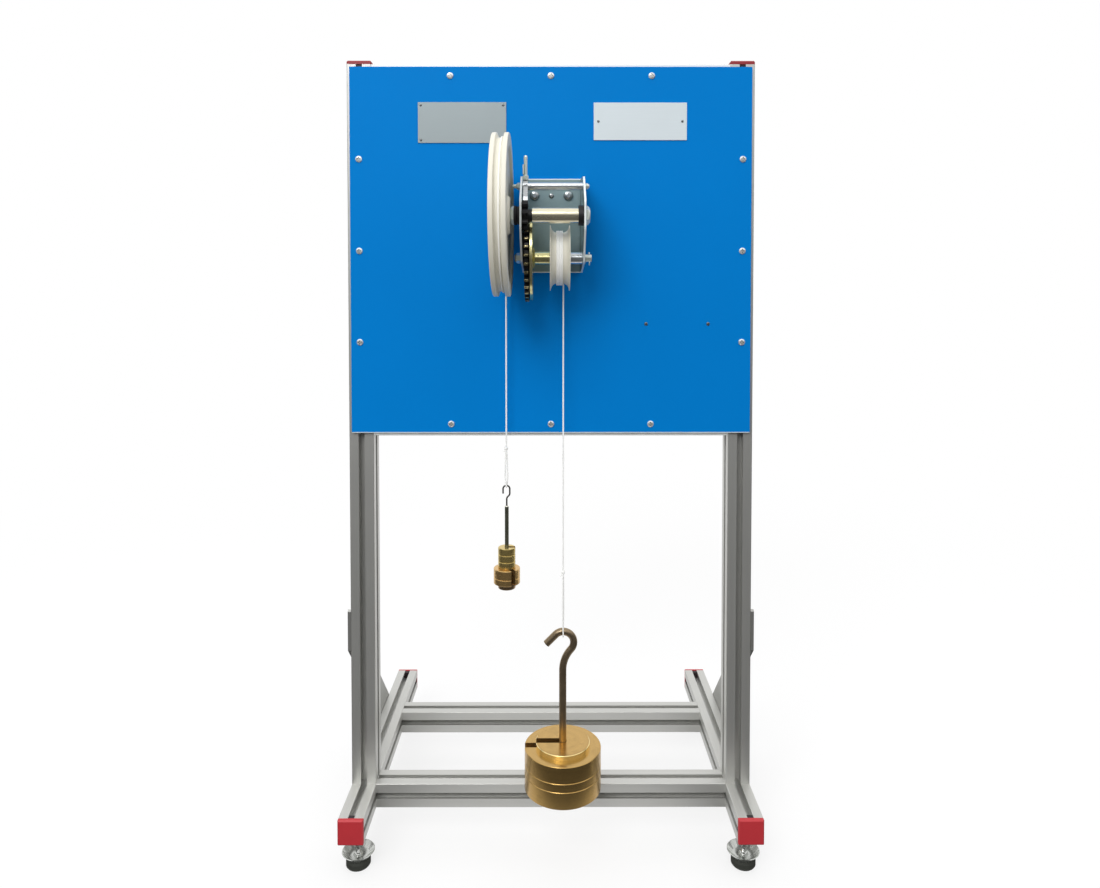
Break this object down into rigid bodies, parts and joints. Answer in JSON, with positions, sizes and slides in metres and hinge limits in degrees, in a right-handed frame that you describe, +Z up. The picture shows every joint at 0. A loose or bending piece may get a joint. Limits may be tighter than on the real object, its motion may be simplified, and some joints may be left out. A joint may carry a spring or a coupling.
{
  "type": "winch demonstration unit",
  "caption": "Winch demonstration unit: slotted-profile stand with a panel and a geared hand winch that balances two hanging slotted weights.",
  "frame": {"origin": "middle of the footprint, on the floor", "axes": "+Z up; the panel and the winch face -Y; +X to the right seen from the front"},
  "size_m": [0.6766, 0.6526, 1.2945],
  "materials": {
    "aluminium": "natural anodised extrusion",
    "plate": "brushed sheet",
    "blue_panel": "satin blue paint",
    "zinc_steel": "zinc plated",
    "yellow_zinc": "yellow zinc plated",
    "black_oxide": "black oxide",
    "red_plastic": "moulded red plastic",
    "white_nylon": "turned white nylon",
    "brass": "satin turned brass",
    "bronze_rod": "dull brass rod",
    "black_rubber": "moulded rubber",
    "cord": "braided white cord"
  },
  "bodies": {
    "stand": {"side_rail_left": "aluminium", "side_rail_right": "aluminium", "cross_rail_front": "aluminium", "cross_rail_rear": "aluminium", "upright_left": "aluminium", "upright_right": "aluminium", "panel_rails": "aluminium", "braces": "plate", "end_caps": "red_plastic", "frame_screws": "zinc_steel", "front_panel": "blue_panel", "panel_screws": "zinc_steel", "nameplate_left": "plate", "nameplate_right": "plate", "small_screws": "black_oxide", "winch_frame": "zinc_steel", "winch_mount_bolts": "zinc_steel", "tie_bar": "zinc_steel", "axle_fasteners": "yellow_zinc", "shaft_bushes": "zinc_steel", "drum_axle": "zinc_steel", "foot_nuts": "zinc_steel"},
    "input": {"crank_shaft": "black_oxide", "pinion": "black_oxide", "crank_sleeve": "yellow_zinc", "crank_collar": "black_oxide", "crank_nut": "zinc_steel", "brake_discs": "black_oxide", "hub_nuts": "zinc_steel", "input_wheel": "white_nylon", "effort_cord_turn": "cord"},
    "drum": {"drum_gear": "zinc_steel", "drum_flange": "yellow_zinc", "drum_sleeve": "yellow_zinc", "load_pulley": "white_nylon", "pulley_spacer": "zinc_steel", "load_cord_turn": "cord"},
    "pawl": {"pawl": "yellow_zinc", "pawl_lever": "zinc_steel"},
    "effort_line": {"effort_cord": "cord", "effort_loop": "cord"},
    "load_line": {"load_cord": "cord", "load_loop": "cord"},
    "effort_hanger": {"effort_hook": "zinc_steel", "effort_rod": "bronze_rod", "effort_base_mass": "brass"},
    "effort_large": {"effort_masses_large": "brass"},
    "effort_small": {"effort_masses_small": "brass"},
    "load_hanger": {"load_hook": "bronze_rod", "load_base_mass": "brass"},
    "load_middle": {"load_mass_middle": "brass"},
    "load_top": {"load_mass_top": "brass"},
    "foot_front_left": {"foot_front_left": "zinc_steel", "foot_pad_front_left": "black_rubber"},
    "foot_front_right": {"foot_front_right": "zinc_steel", "foot_pad_front_right": "black_rubber"},
    "foot_rear_left": {"foot_rear_left": "zinc_steel", "foot_pad_rear_left": "black_rubber"},
    "foot_rear_right": {"foot_rear_right": "zinc_steel", "foot_pad_rear_right": "black_rubber"}
  },
  "joints": [
    {"name": "input_turn", "type": "hinge", "parent": "stand", "child": "input", "pos_m": [0, -0.2087, 1.031], "axis": [-1, 0, 0], "range_deg": [-40, 160]},
    {"name": "drum_turn", "type": "hinge", "parent": "stand", "child": "drum", "pos_m": [0, -0.15174, 0.97201], "axis": [-1, 0, 0], "range_deg": [-45.5, 11.75]},
    {"name": "effort_travel", "type": "slide", "parent": "stand", "child": "effort_line", "axis": [0, 0, -1], "range_m": [-0.0785, 0.3108], "deforming": ["effort_cord"]},
    {"name": "load_travel", "type": "slide", "parent": "stand", "child": "load_line", "axis": [0, 0, 1], "range_m": [-0.0084, 0.0323], "deforming": ["load_cord"]},
    {"name": "effort_swing", "type": "hinge", "parent": "effort_line", "child": "effort_hanger", "pos_m": [-0.0716, -0.09775, 0.6095], "axis": [-1, 0, 0], "range_deg": [-10, 10]},
    {"name": "effort_large_lift", "type": "slide", "parent": "effort_hanger", "child": "effort_large", "axis": [0, 0, 1], "range_m": [0, 0.02]},
    {"name": "effort_small_lift", "type": "slide", "parent": "effort_large", "child": "effort_small", "axis": [0, 0, 1], "range_m": [0, 0.02]},
    {"name": "load_swing", "type": "hinge", "parent": "load_line", "child": "load_hanger", "pos_m": [0.0196, -0.11129, 0.3775], "axis": [-1, 0, 0], "range_deg": [-6, 6]},
    {"name": "load_middle_lift", "type": "slide", "parent": "load_hanger", "child": "load_middle", "axis": [0, 0, 1], "range_m": [0, 0.025]},
    {"name": "load_top_lift", "type": "slide", "parent": "load_middle", "child": "load_top", "axis": [0, 0, 1], "range_m": [0, 0.04]},
    {"name": "pawl_turn", "type": "hinge", "parent": "stand", "child": "pawl", "pos_m": [0, -0.1737, 1.078], "axis": [-1, 0, 0], "range_deg": [-8, 20]},
    {"name": "foot_front_left_level", "type": "slide", "parent": "stand", "child": "foot_front_left", "axis": [0, 0, -1], "range_m": [0, 0.008]},
    {"name": "foot_front_right_level", "type": "slide", "parent": "stand", "child": "foot_front_right", "axis": [0, 0, -1], "range_m": [0, 0.008]},
    {"name": "foot_rear_left_level", "type": "slide", "parent": "stand", "child": "foot_rear_left", "axis": [0, 0, -1], "range_m": [0, 0.008]},
    {"name": "foot_rear_right_level", "type": "slide", "parent": "stand", "child": "foot_rear_right", "axis": [0, 0, -1], "range_m": [0, 0.008]}
  ],
  "couplings": [
    {"joint": "drum_turn", "follows": "input_turn", "ratio": -0.28125},
    {"joint": "effort_travel", "follows": "input_turn", "m_per_rad": 0.11095},
    {"joint": "load_travel", "follows": "input_turn", "m_per_rad": 0.011377}
  ]
}
